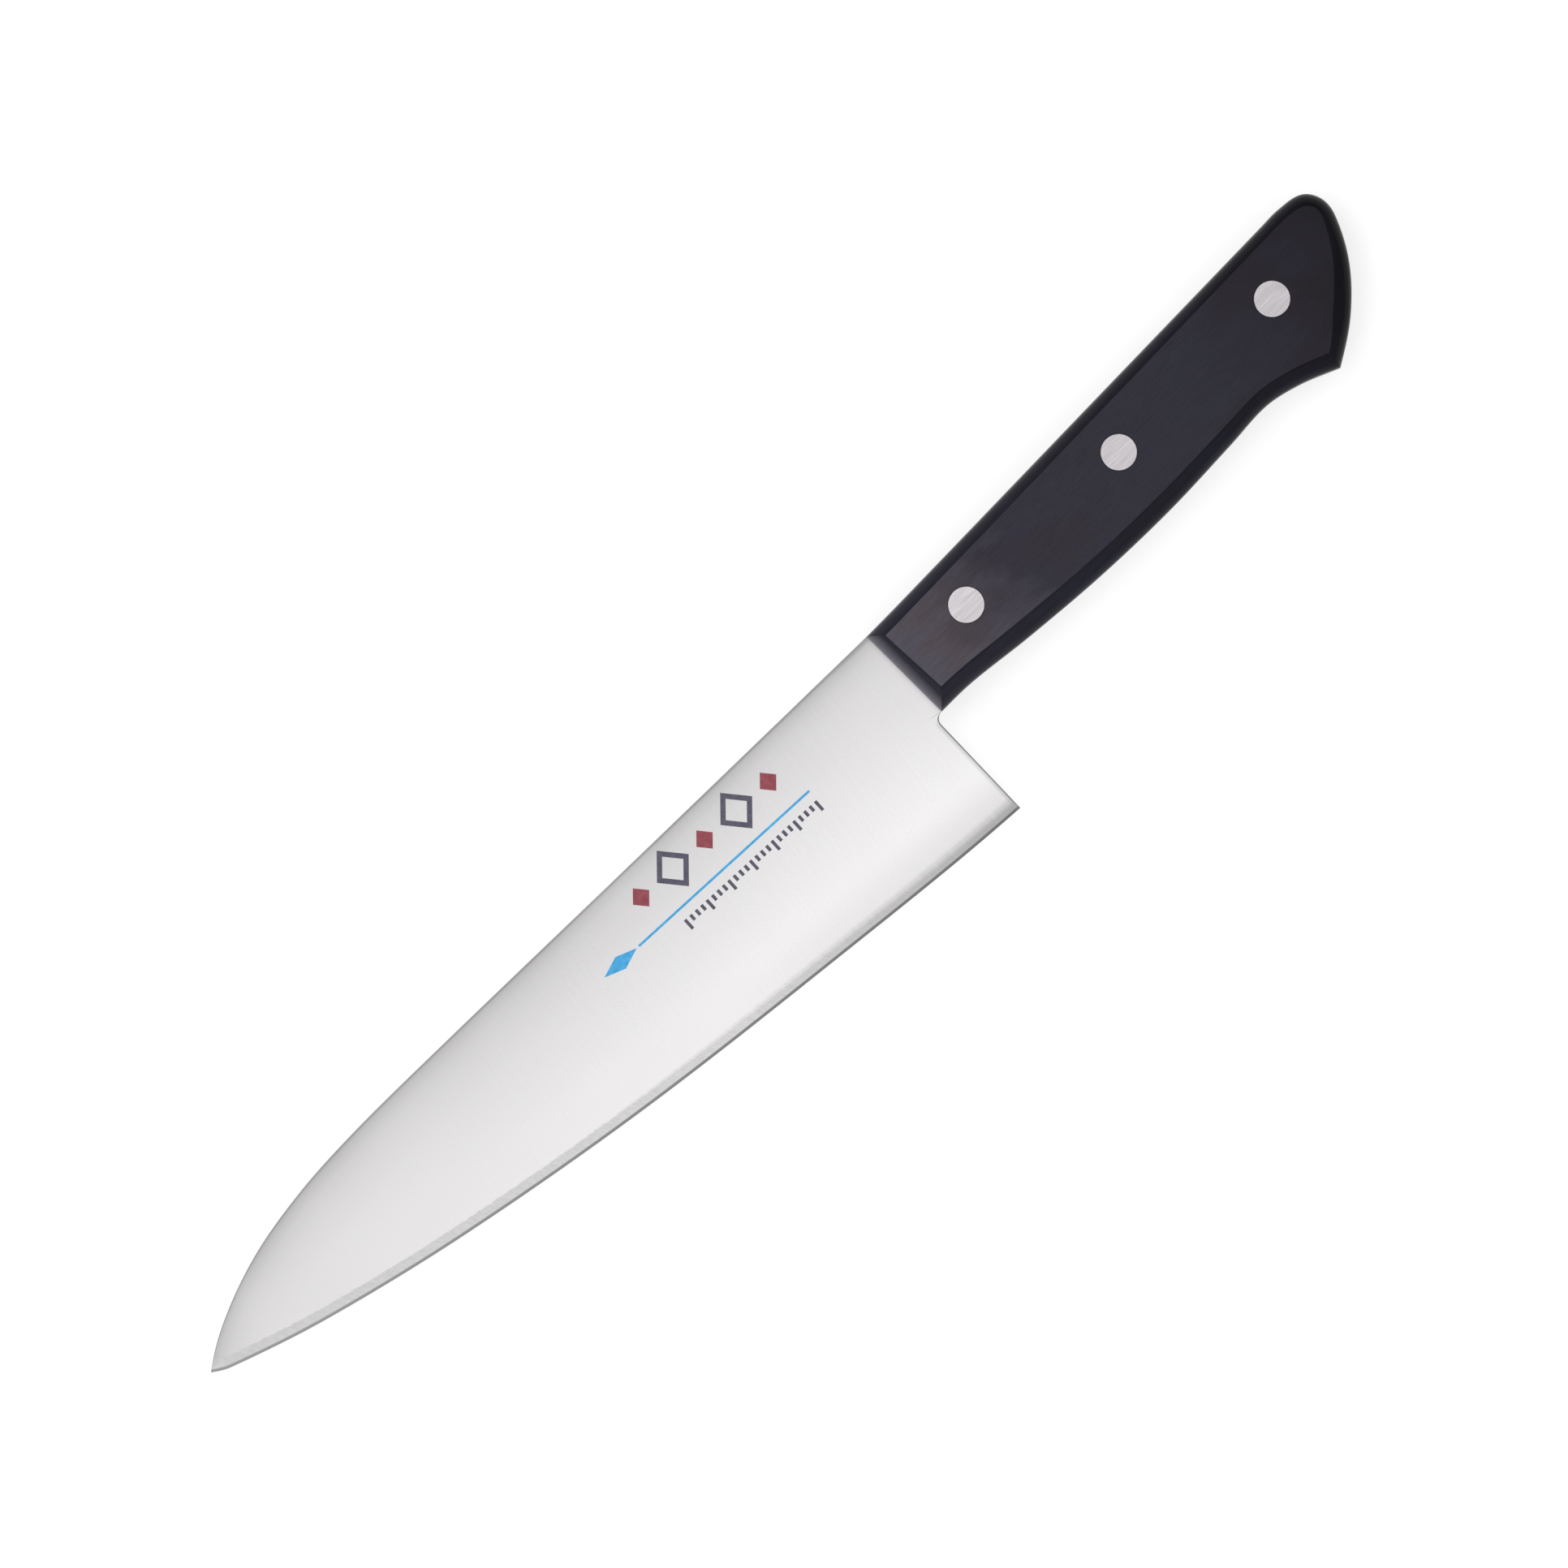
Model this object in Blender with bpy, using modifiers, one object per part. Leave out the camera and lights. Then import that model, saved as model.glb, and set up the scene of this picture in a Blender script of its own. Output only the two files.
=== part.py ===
"""Chef's knife: a blade with a full tang, two handle scales and three two-piece rivets.

The knife lies on its right side. +X runs from the tip to the butt, +Y from the cutting edge to the spine,
and +Z up through the thickness. The origin is under the middle of the knife's box, on the plane it rests on.

Each piece is drawn about the middle plane of the steel, from the handle's front end and the line through
the rivets' centres. The empty "knife" then carries all of them to the origin.
"""

import math

import bmesh
import bpy
from mathutils import Vector
from mathutils.geometry import interpolate_bezier

MM = 0.001

# Steel: the blade and its tang
STEEL_THICKNESS = 2.0 * MM
TIP_SHARE = 0.6  # of the thickness that is left at the tip, where the steel tapers along the blade
EDGE_BEVEL_WIDTH = 0.55 * MM
EDGE_BAND_WIDTH = 2.3 * MM  # from the cutting edge to the top of the fine grind over the edge bevel
GRIND_WIDTH = 30 * MM  # from the cutting edge to where the sides run flat
EDGE_BEVEL_SHARE = 0.15  # of the thickness, at the top of the edge bevel
EDGE_BAND_SHARE = 0.31  # of the thickness, at the top of the fine grind
CHOIL_RADIUS = 1.75 * MM
GRIND_RUNOUT = Vector((10, -50)) * MM  # where the grind has swung clear of the tang, behind the heel
STOCK_HEIGHT = 75 * MM  # of the ground stock that the steel's outline is cut from
STOCK_MARGIN = 4 * MM  # how far the stock reaches past the tip and the butt
CUT_MARGIN = 3 * MM  # how far the cut outline stays outside the cutting edge

# Handle
HANDLE_THICKNESS = 16 * MM
RIM_BEVEL_DEPTH = 4 * MM  # how far the bevel round each scale reaches down from its flat face
RIM_BEVEL_SWEEP = math.radians(50)  # turn of the bevel's rounded section, which meets the face in a crease

# Rivets
RIVET_STATIONS = {"front": 17.7 * MM, "middle": 58.8 * MM, "rear": 100.1 * MM}
HEAD_RADIUS = 3.5 * MM
HEAD_THICKNESS = 2 * MM
TUBE_RADIUS = 2.4 * MM
TUBE_WALL = 0.7 * MM
SHANK_END = 4 * MM  # how far the solid shank reaches past the middle plane

GAP = 0.3 * MM  # between a piece and its neighbour
PAST = 1 * MM  # how far a cutter reaches past what it cuts
WELD = 0.001 * MM  # points closer than this are one point

# Outlines: knots in millimetres, which smooth curves run through
SPINE = [(-187.9, -1.7), (-179, 3.6), (-166, 8.2), (-152, 10.6), (-138, 11.45), (-120, 11.45), (-60, 10.25),
         (0, 9.15)]
EDGE = [(-187.9, -1.7), (-184.5, -3.7), (-165, -10.15), (-135, -17.4), (-95, -24.5), (-50, -30.1),
        (-2.3, -34.75)]
SPINE_FROM_TIP = Vector((1, 0.78))
EDGE_FROM_TIP = Vector((1, -0.72))
EDGE_INTO_HEEL = Vector((1, -0.06))

HANDLE_BACK = [(0, 9.15), (15, 9.35), (60, 10.25), (108, 11.2)]
HANDLE_BUTT = [(108, 11.2), (113, 11.25), (118.2, 10.2), (120.45, 7.0), (120.1, 2.8), (115.6, -5.55),
               (108.6, -12.9), (100.2, -18.55)]
HANDLE_BELLY = [(100.2, -18.55), (92.5, -15.4), (85, -13.75), (75, -14.2), (58, -14.8), (40, -14.35),
                (22, -12.9), (8, -11.3), (0, -11.15)]
FACE_BACK = [(2.5, 6.9), (15, 7.1), (60, 8.1), (107, 9.15)]
FACE_BUTT = [(107, 9.15), (112.8, 9.2), (116.9, 8.3), (118.4, 6.2), (117.6, 3.1), (113.3, -3.5),
             (106.6, -10.1), (100.6, -15.1)]
FACE_BELLY = [(100.6, -15.1), (93.3, -12.35), (86, -10.8), (76, -11.0), (58, -11.4), (40, -10.9),
              (23, -9.5), (10, -8.15), (3.2, -7.8)]
FORWARD = Vector((-1, 0))
BACKWARD = Vector((1, 0))
BUTT_INTO_CORNER = Vector((-1, -0.6))

# Fineness
OUTLINE_STEPS = 4
BLADE_STEPS = 7
CHOIL_STEPS = 6
BEVEL_STEPS = 5
GRIND_STEPS = 5
RIVET_SIDES = 32
CREASE_ANGLE = math.radians(20)  # faces that meet more sharply than this aren't shaded as one

# Finishes: colour, roughness and metallic
STEEL = ((0.66, 0.66, 0.68), 0.3, 1)
COMPOSITE = ((0.035, 0.032, 0.042), 0.45, 0)
RIVET_METAL = ((0.62, 0.60, 0.62), 0.35, 1)


def clear_scene():
    for existing in list(bpy.data.objects):
        bpy.data.objects.remove(existing)


def new_collection(name):
    collection = bpy.data.collections.new(name)
    bpy.context.scene.collection.children.link(collection)
    return collection


def finish(piece, look):
    """Gives the piece a material of its own."""
    colour, roughness, metallic = look
    made = bpy.data.materials.new(piece.name + "_finish")
    made.use_nodes = True
    shader = made.node_tree.nodes["Principled BSDF"]
    shader.inputs["Base Color"].default_value = (*colour, 1)
    shader.inputs["Roughness"].default_value = roughness
    shader.inputs["Metallic"].default_value = metallic
    piece.data.materials.append(made)


def smooth_curve(knots, steps, start=None, end=None):
    """Points on a smooth curve through the knots, whose headings at the two ends may be given."""
    points = [Vector(knot) * MM for knot in knots]
    headings = [after - before for before, after in zip(points, points[2:])]
    headings.insert(0, start or points[1] - points[0])
    headings.append(end or points[-1] - points[-2])
    curve = []
    for here, there, leaving, arriving in zip(points, points[1:], headings, headings[1:]):
        reach = (there - here).length / 3
        leaving_handle = here + leaving.normalized() * reach
        arriving_handle = there - arriving.normalized() * reach
        curve += interpolate_bezier(here, leaving_handle, arriving_handle, there, steps + 1)[:-1]
    return curve + [points[-1]]


def arc(centre, radius, start, turn, steps):
    angles = [start + turn * step / steps for step in range(steps + 1)]
    return [centre + radius * Vector((math.cos(angle), math.sin(angle))) for angle in angles]


def handle_outline(back, butt, belly):
    """Open outline from the upper front corner along the back, round the butt and along the belly."""
    along_back = smooth_curve(back, OUTLINE_STEPS, start=BACKWARD)
    round_butt = smooth_curve(butt, OUTLINE_STEPS, start=BACKWARD, end=BUTT_INTO_CORNER)
    along_belly = smooth_curve(belly, OUTLINE_STEPS, end=FORWARD)
    return along_back[:-1] + round_butt[:-1] + along_belly


def steel_outline():
    """Closed outline of the steel: tang, choil, heel and spine. Below the blade it stays outside the
    cutting edge, which the ground sides make where they meet."""
    tang = handle_outline(HANDLE_BACK, HANDLE_BUTT, HANDLE_BELLY)
    choil = arc(tang[-1] - Vector((0, CHOIL_RADIUS)), CHOIL_RADIUS, math.pi / 2, math.pi / 2, CHOIL_STEPS)
    heel_corner = Vector(EDGE[-1]) * MM
    below_heel = heel_corner + (heel_corner - choil[-1]).normalized() * CUT_MARGIN
    spine = smooth_curve(SPINE, BLADE_STEPS, start=SPINE_FROM_TIP)
    past_tip = spine[0] - SPINE_FROM_TIP.normalized() * CUT_MARGIN
    below_tip = Vector((past_tip.x, below_heel.y))
    return tang + choil[1:] + [below_heel, below_tip, past_tip] + spine[:-1]


def grind_rows():
    """(distance from the cutting edge, share of the full thickness) up the side of the blade."""
    rows = [(EDGE_BEVEL_WIDTH, EDGE_BEVEL_SHARE)]
    for step in range(GRIND_STEPS + 1):
        up = step / GRIND_STEPS
        distance = EDGE_BAND_WIDTH + (GRIND_WIDTH - EDGE_BAND_WIDTH) * up
        rows.append((distance, 1 - (1 - EDGE_BAND_SHARE) * (1 - up) ** 2))
    return rows


def ground_steel(name, collection):
    """A slab of steel with ground sides, longer and taller than the blade. It is lofted through sections
    across the cutting edge. Behind the heel the grind swings away below, so the tang has full thickness."""
    edge = smooth_curve(EDGE, BLADE_STEPS, start=EDGE_FROM_TIP, end=EDGE_INTO_HEEL)
    edge.insert(0, edge[0] - EDGE_FROM_TIP.normalized() * STOCK_MARGIN)
    handle_front = Vector((0, edge[-1].y + EDGE_INTO_HEEL.y / EDGE_INTO_HEEL.x * -edge[-1].x))
    past_butt = max(knot[0] for knot in HANDLE_BUTT) * MM + STOCK_MARGIN
    edge += [handle_front, GRIND_RUNOUT, Vector((past_butt, GRIND_RUNOUT.y))]
    blade_length = -EDGE[0][0] * MM
    rings = []
    for before, here, after in zip([edge[0]] + edge, edge, edge[1:] + [edge[-1]]):
        heading = (after - before).normalized()
        in_blade = here.x <= handle_front.x
        slant = heading.x if in_blade else 1
        half = STEEL_THICKNESS / 2 * (1 - (1 - TIP_SHARE) * max(0, -here.x) / blade_length)
        side = [(here.y + distance / slant, half * share) for distance, share in grind_rows()]
        side.append((here.y + STOCK_HEIGHT, half))
        upper = [Vector((here.x, y, z)) for y, z in side]
        lower = [Vector((here.x, y, -z)) for y, z in reversed(side)]
        rings.append([Vector((here.x, here.y, 0))] + upper + lower)
    return loft(name, rings, collection)


def mesh_object(name, points, faces, collection):
    """A mesh object whose faces point out, shaded smooth between its sharp edges."""
    mesh = bpy.data.meshes.new(name)
    mesh.from_pydata(points, [], faces)
    shape = bmesh.new()
    shape.from_mesh(mesh)
    bmesh.ops.recalc_face_normals(shape, faces=shape.faces)
    shape.to_mesh(mesh)
    shape.free()
    mesh.shade_smooth()
    mesh.set_sharp_from_angle(angle=CREASE_ANGLE)
    made = bpy.data.objects.new(name, mesh)
    collection.objects.link(made)
    return made


def loft(name, rings, collection):
    """A closed solid through rings of equally many points, with a flat cap at each end."""
    count = len(rings[0])
    last = (len(rings) - 1) * count
    faces = [tuple(range(count)), tuple(range(last, last + count))]
    for first in range(0, last, count):
        for here in range(count):
            beside = (here + 1) % count
            faces.append((first + here, first + beside, first + count + beside, first + count + here))
    return mesh_object(name, [point for ring in rings for point in ring], faces, collection)


def flat_plate(name, outline, half_thickness, collection):
    """A flat plate about the middle plane: a filled 2D curve, made into a mesh with welded caps."""
    curve = bpy.data.curves.new(name, "CURVE")
    curve.dimensions = "2D"
    curve.fill_mode = "BOTH"
    curve.extrude = half_thickness
    spline = curve.splines.new("POLY")
    spline.points.add(len(outline) - 1)
    for point, place in zip(spline.points, outline):
        point.co = (place.x, place.y, 0, 1)
    spline.use_cyclic_u = True
    drawn = bpy.data.objects.new(name + "_curve", curve)
    collection.objects.link(drawn)
    mesh = bpy.data.meshes.new_from_object(drawn.evaluated_get(bpy.context.evaluated_depsgraph_get()))
    shape = bmesh.new()
    shape.from_mesh(mesh)
    bmesh.ops.remove_doubles(shape, verts=shape.verts, dist=WELD)
    shape.to_mesh(mesh)
    shape.free()
    plate = bpy.data.objects.new(name, mesh)
    plate.matrix_world = drawn.matrix_world
    collection.objects.link(plate)
    bpy.data.objects.remove(drawn)
    return plate


def turned(name, profile, collection):
    """A round solid, turned from a profile of (radius, height) pairs that runs down its outer side."""
    mesh = bpy.data.meshes.new(name)
    points = [(radius, 0, height) for radius, height in profile]
    mesh.from_pydata(points, [(here, here + 1) for here in range(len(points) - 1)], [])
    made = bpy.data.objects.new(name, mesh)
    collection.objects.link(made)
    turn = made.modifiers.new("Turn", "SCREW")
    turn.steps = RIVET_SIDES
    turn.render_steps = RIVET_SIDES
    turn.use_merge_vertices = True
    turn.merge_threshold = WELD
    return made


def cutter(shape):
    shape.hide_render = True
    shape.display_type = "WIRE"
    return shape


def apply_boolean(piece, other, operation):
    modifier = piece.modifiers.new(operation.title() + " " + other.name, "BOOLEAN")
    modifier.operation = operation
    modifier.object = other


def rivet_hole(position, station, collection):
    """Cutter for one rivet: a hole through the handle, wider where the two heads are let in."""
    past_face = HANDLE_THICKNESS / 2 + PAST
    head_floor = HANDLE_THICKNESS / 2 - HEAD_THICKNESS - GAP
    wide = HEAD_RADIUS + GAP
    narrow = TUBE_RADIUS + GAP
    upper = [(0, past_face), (wide, past_face), (wide, head_floor), (narrow, head_floor)]
    lower = [(radius, -height) for radius, height in reversed(upper)]
    hole = cutter(turned(position + "_rivet_hole", upper + lower, collection))
    hole.location.x = station
    return hole


def blade(collection, cutters, holes):
    piece = ground_steel("blade", collection)
    outline = cutter(flat_plate("steel_outline", steel_outline(), STEEL_THICKNESS, cutters))
    apply_boolean(piece, outline, "INTERSECT")
    for hole in holes:
        apply_boolean(piece, hole, "DIFFERENCE")
    finish(piece, STEEL)
    return piece


def handle_scale(name, side, collection, holes):
    """One scale, on the side of the steel given as 1 or -1. Its rounded bevel rises from the outline to the
    smaller outline of the flat face."""
    outer = handle_outline(HANDLE_BACK, HANDLE_BUTT, HANDLE_BELLY)
    face = handle_outline(FACE_BACK, FACE_BUTT, FACE_BELLY)
    shoulder = HANDLE_THICKNESS / 2 - RIM_BEVEL_DEPTH
    levels = [(0, STEEL_THICKNESS / 2 + GAP)]
    for step in range(BEVEL_STEPS + 1):
        angle = RIM_BEVEL_SWEEP * step / BEVEL_STEPS
        inward = (1 - math.cos(angle)) / (1 - math.cos(RIM_BEVEL_SWEEP))
        levels.append((inward, shoulder + RIM_BEVEL_DEPTH * math.sin(angle) / math.sin(RIM_BEVEL_SWEEP)))
    rings = []
    for inward, height in levels:
        ring = [low.lerp(high, inward) for low, high in zip(outer, face)]
        rings.append([Vector((*point, side * height)) for point in ring])
    piece = loft(name, rings, collection)
    for hole in holes:
        apply_boolean(piece, hole, "DIFFERENCE")
    finish(piece, COMPOSITE)
    return piece


def rivet(position, station, collection):
    """A solid half, whose shank stands in the tube of a hollow half. Both heads are flush with the scales."""
    face = HANDLE_THICKNESS / 2
    under_head = face - HEAD_THICKNESS
    bore = TUBE_RADIUS - TUBE_WALL
    shank = bore - GAP
    male = [(0, face), (HEAD_RADIUS, face), (HEAD_RADIUS, under_head), (shank, under_head),
            (shank, -SHANK_END), (0, -SHANK_END)]
    tube_end = under_head - GAP
    bore_end = -SHANK_END - GAP
    female = [(0, bore_end), (bore, bore_end), (bore, tube_end), (TUBE_RADIUS, tube_end),
              (TUBE_RADIUS, -under_head), (HEAD_RADIUS, -under_head), (HEAD_RADIUS, -face), (0, -face)]
    halves = [turned(position + "_rivet_male", male, collection),
              turned(position + "_rivet_female", female, collection)]
    for half in halves:
        half.location.x = station
        finish(half, RIVET_METAL)
    return halves


def build():
    clear_scene()
    parts = new_collection("chef_knife")
    cutters = new_collection("cutters")
    holes = [rivet_hole(position, station, cutters) for position, station in RIVET_STATIONS.items()]
    pieces = [blade(parts, cutters, holes),
              handle_scale("handle_scale_left", 1, parts, holes),
              handle_scale("handle_scale_right", -1, parts, holes)]
    for position, station in RIVET_STATIONS.items():
        pieces += rivet(position, station, parts)

    knife = bpy.data.objects.new("knife", None)
    parts.objects.link(knife)
    outline = handle_outline(HANDLE_BACK, HANDLE_BUTT, HANDLE_BELLY)
    spine = smooth_curve(SPINE, BLADE_STEPS, start=SPINE_FROM_TIP)
    middle_x = (spine[0].x + max(point.x for point in outline)) / 2
    middle_y = (EDGE[-1][1] * MM + max(point.y for point in spine)) / 2
    knife.location = (-middle_x, -middle_y, HANDLE_THICKNESS / 2)
    for member in pieces + list(cutters.objects):
        member.parent = knife


build()
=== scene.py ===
"""Looks of the chef's knife: fine meshes and materials for its steel, its handle scales, its rivets and its
print.

Outlines are drawn in millimetres, as in the CAD: x from the handle's front end to the butt, y from the line
of the rivets' centres to the spine, and z from the middle plane of the steel. Meshes are made in metres, in
the frame's own coordinates.
"""

import math

import bmesh
import bpy
import numpy as np
from mathutils import Matrix, Vector
from mathutils.geometry import interpolate_bezier


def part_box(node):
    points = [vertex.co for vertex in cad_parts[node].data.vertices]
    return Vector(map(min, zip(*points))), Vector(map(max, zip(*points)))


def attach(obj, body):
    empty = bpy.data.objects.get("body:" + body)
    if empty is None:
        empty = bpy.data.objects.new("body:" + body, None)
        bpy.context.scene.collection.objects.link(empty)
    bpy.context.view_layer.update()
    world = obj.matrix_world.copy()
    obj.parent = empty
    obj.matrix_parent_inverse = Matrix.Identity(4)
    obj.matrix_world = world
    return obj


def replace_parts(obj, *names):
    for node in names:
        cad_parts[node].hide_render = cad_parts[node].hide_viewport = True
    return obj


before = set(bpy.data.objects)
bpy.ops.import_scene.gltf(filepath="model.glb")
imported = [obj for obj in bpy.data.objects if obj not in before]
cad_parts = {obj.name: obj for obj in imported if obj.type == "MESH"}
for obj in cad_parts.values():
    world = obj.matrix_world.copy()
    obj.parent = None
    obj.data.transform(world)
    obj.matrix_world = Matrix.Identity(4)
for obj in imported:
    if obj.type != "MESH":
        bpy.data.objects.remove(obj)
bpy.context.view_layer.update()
MM = 0.001

# Places and sizes from the frame
SCALE_LOW, SCALE_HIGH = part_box("handle_scale_left")
BLADE_LOW, BLADE_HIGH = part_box("blade")
HEAD_LOW, HEAD_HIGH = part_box("front_rivet_male")
ORIGIN = Vector((SCALE_LOW.x, (HEAD_LOW.y + HEAD_HIGH.y) / 2, (BLADE_LOW.z + BLADE_HIGH.z) / 2))
STEEL_HALF = (BLADE_HIGH.z - BLADE_LOW.z) / 2 / MM
HANDLE_HALF = (SCALE_HIGH.z - ORIGIN.z) / MM
HEAD_RADIUS = (HEAD_HIGH.x - HEAD_LOW.x) / 2 / MM
POSITIONS = ("front", "middle", "rear")

# Steel, in millimetres
TIP_SHARE = 0.6  # of the thickness that is left at the tip
BEVEL_WIDTH = 0.55  # of the cutting edge's own bevel
BAND_WIDTH = 2.3  # from the cutting edge to the top of the fine grind
GRIND_WIDTH = 30  # from the cutting edge to where the sides run flat
BEVEL_SHARE = 0.15  # of the thickness, at the top of the bevel
BAND_SHARE = 0.31  # of the thickness, at the top of the fine grind
BAND_LIMIT = 0.6  # of the blade's height, where it is narrow at the tip
CHOIL_RADIUS = 1.75
GRIND_RUNOUT = (10, -50)  # where the grind has swung clear of the tang
SPINE_EASE = 0.22  # radius of the rounded corners along the spine
HEEL_EASE = 0.22
TANG_EASE = 0.07
EASE_LIMIT = 0.7  # of the half thickness, where the steel is thin
ROLL_DEPTH = 0.05  # how far polishing has lowered the sides at the spine
ROLL_REACH = 1.3
ROLL_FADE = 3  # how far from the handle the roll starts

# Scales and rivets, in millimetres
RIM_BEVEL_DEPTH = 4
RIM_BEVEL_SWEEP = math.radians(50)
CREASE_EASE = 0.16  # half width of the rounded crease between bevel and flat face
CREASE_SHARE = 0.94  # of the bevel's sweep, where that rounding begins
BOND_GROOVE = 0.06  # chamfer of each scale where it meets the steel
HEAD_THICKNESS = 2
TUBE_RADIUS = 2.4
TUBE_WALL = 0.7
SHANK_END = 4
PRESS_FIT = 0.02
HEAD_FIT = 0.05  # the dark line round each rivet head
HEAD_EASE = 0.11
HOLE_CHAMFER = 0.04

SPINE = [(-187.9, -1.7), (-179, 3.6), (-166, 8.2), (-152, 10.6), (-138, 11.45), (-120, 11.45), (-60, 10.25),
         (0, 9.15)]
EDGE = [(-187.9, -1.7), (-184.5, -3.7), (-165, -10.15), (-135, -17.4), (-95, -24.5), (-50, -30.1),
        (-2.3, -34.75)]
HANDLE_BACK = [(0, 9.15), (15, 9.35), (60, 10.25), (108, 11.2)]
HANDLE_BUTT = [(108, 11.2), (113, 11.25), (118.2, 10.2), (120.45, 7.0), (120.1, 2.8), (115.6, -5.55),
               (108.6, -12.9), (100.2, -18.55)]
HANDLE_BELLY = [(100.2, -18.55), (92.5, -15.4), (85, -13.75), (75, -14.2), (58, -14.8), (40, -14.35),
                (22, -12.9), (8, -11.3), (0, -11.15)]
FACE_BACK = [(2.5, 6.9), (15, 7.1), (60, 8.1), (107, 9.15)]
FACE_BUTT = [(107, 9.15), (112.8, 9.2), (116.9, 8.3), (118.4, 6.2), (117.6, 3.1), (113.3, -3.5),
             (106.6, -10.1), (100.6, -15.1)]
FACE_BELLY = [(100.6, -15.1), (93.3, -12.35), (86, -10.8), (76, -11.0), (58, -11.4), (40, -10.9),
              (23, -9.5), (10, -8.15), (3.2, -7.8)]
SPINE_FROM_TIP = (1, 0.78)
EDGE_FROM_TIP = (1, -0.72)
EDGE_INTO_HEEL = (1, -0.06)
FORWARD = (-1, 0)
BACKWARD = (1, 0)
BUTT_INTO_CORNER = (-1, -0.6)

# Generic print on the left side, in millimetres
RULE_START = (-81.4, -1.5)
RULE_END = (-28.5, -3.95)
RULE_HALF_WIDTH = 0.24
RULE_LOZENGE = (4.2, 1.5)  # half length and half height of the one that ends the rule
RULE_GAP = 0.5
INK_THICKNESS = 0.012
SOLID = (1, 0.5, 0)  # shares of a filled shape's size at its successive loops
BAR_INSET = 0.25  # of a bar's narrower side, from its ends to those of its innermost loop
ROW_START = 15.5  # along the rule, to the first lozenge
ROW_PITCH = 8.2
ROW_HEIGHT = 6.6
ROW_LOZENGES = 5
LOZENGE = (4.1, 4.6)
SMALL_LOZENGE = (2.1, 2.35)
FRAME_SHARE = 0.66  # of a lozenge, inside its frame
TICK_TOP = -2.2
TICK_FEET = (-4.5, -3.5, -3.5, -3.5)  # one long tick, then three short ones
TICK_START = 18.5
TICK_PITCH = 1.4
TICK_WIDTH = 0.65
TICKS = 25
SLATE = (0.075, 0.07, 0.105)
RED = (0.24, 0.045, 0.06)
BLUE = (0.045, 0.33, 0.62)

# Finish and painted shade of the steel: distances in millimetres, and patterns as features per metre along x,
# y and z
EDGE_FADE = 11  # from the cutting edge to where the painted shade along it ends
HEEL_FADE = 1.1  # the same for the painted shade at the heel
SPINE_FADE = 40  # from the spine to where the painted shade along it ends and the sides stop getting paler
CLEAR_LINES = 30  # in front of the handle, where the grind lines are as clear as they get
HEEL_SHADE = 70  # in front of the handle, where the painted shade along the edge starts to deepen toward the heel
BAND_BLUR = 120  # in front of the handle, where the fine band's top starts to blur
GRIND_LINES = (1900, 16, 16)
GRIND_STROKES = (430, 6, 6)
GRIND_CLOUDS = (26, 16, 16)
GRIND_TURN = math.radians(10)  # lean of the grind lines, from square across the blade
BAND_WAVER = (700, 0, 0)
BAND_MARKS = (2600, 600, 100)
POLISH_TURN = math.radians(-30)  # lean of the marks in the fine band
RIM_LINES = (45, 45, 7000)
RIM_SCUFFS = (700, 700, 300)
GREY_TINT = (1, 0.983, 0.991)  # the steel is very slightly warm
# greys of the sides from the spine down: darker at the spine as painted shade
SPINE_GREYS = ((0, 0.50), (0.03, 0.60), (0.08, 0.68), (0.16, 0.74), (0.3, 0.79), (0.8, 0.85))
CLOUD_GREY = 0.78
# the fine band's greys: its marks are its own finish, and its darkness below the sides is painted shade
BAND_GREYS = ((0.3, 0.50), (0.7, 0.56))
# painted shade: the band darkens to this grey at the heel
HEEL_BAND_GREY = 0.28
# painted shade: the edge's bevel is drawn as a dark line
BEVEL_GREY = 0.26
RIM_GREYS = ((0.3, 0.48), (0.7, 0.62))
# painted shade: the rim darkens to this grey at the heel
HEEL_RIM_GREY = 0.2

# Finish and painted light and shade of the scales and rivets, in the same units. Palettes run from the front
# end to the butt.
PAINTED_HIGHLIGHT_REACH = 2.1  # of the highlight painted on the forward-facing front bevel
# colour of that painted highlight
PAINTED_HIGHLIGHT = (0.84, 0.79, 0.90)
COMPOSITE_GRAIN = (700, 7000, 7000)
COMPOSITE_FIBRES = (260, 2300, 2300)
COMPOSITE_MOTTLE = (75, 150, 150)
MOTTLE_TURN = math.radians(7)  # lean of the patches in the composite
MOTTLE_TINTS = ((0, (0.96, 0.985, 1)), (1, (1, 0.955, 0.88)))
SANDED = ((0, (0.076, 0.068, 0.090)), (0.1, (0.071, 0.062, 0.079)), (0.24, (0.0265, 0.023, 0.037)),
          (0.62, (0.0215, 0.0205, 0.033)), (0.87, (0.012, 0.0097, 0.0175)), (1, (0.006, 0.005, 0.009)))
POLISHED = ((0, (0.021, 0.020, 0.031)), (0.3, (0.015, 0.0147, 0.024)), (0.8, (0.0085, 0.0085, 0.0135)),
            (1, (0.0035, 0.0035, 0.0055)))
# a dark line of painted shade along the rounded crease between bevel and flat face
CREASE_PAINTED_SHADE = ((0, (0.018, 0.0165, 0.024)), (0.3, (0.015, 0.014, 0.022)), (0.9, (0.0075, 0.007, 0.011)),
           (1, (0.004, 0.0037, 0.006)))
FINE_SCRATCHES = (350, 6500, 6500)
BROAD_SCRATCHES = (140, 2300, 2300)
SCRATCH_TURN = math.radians(2)  # lean of the scratches on the rivets
TARNISH_PATCHES = (260, 260, 260)
SCRATCH_COLOURS = ((0.36, (0.60, 0.57, 0.59)), (0.64, (0.90, 0.86, 0.89)))
TARNISH = (0.68, 0.635, 0.665)
# painted shade: share of brightness left on the rivet nearest the butt
BUTT_RIVET_PAINTED_SHADE = 0.82
INK_PATCHES = (900, 900, 900)

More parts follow.
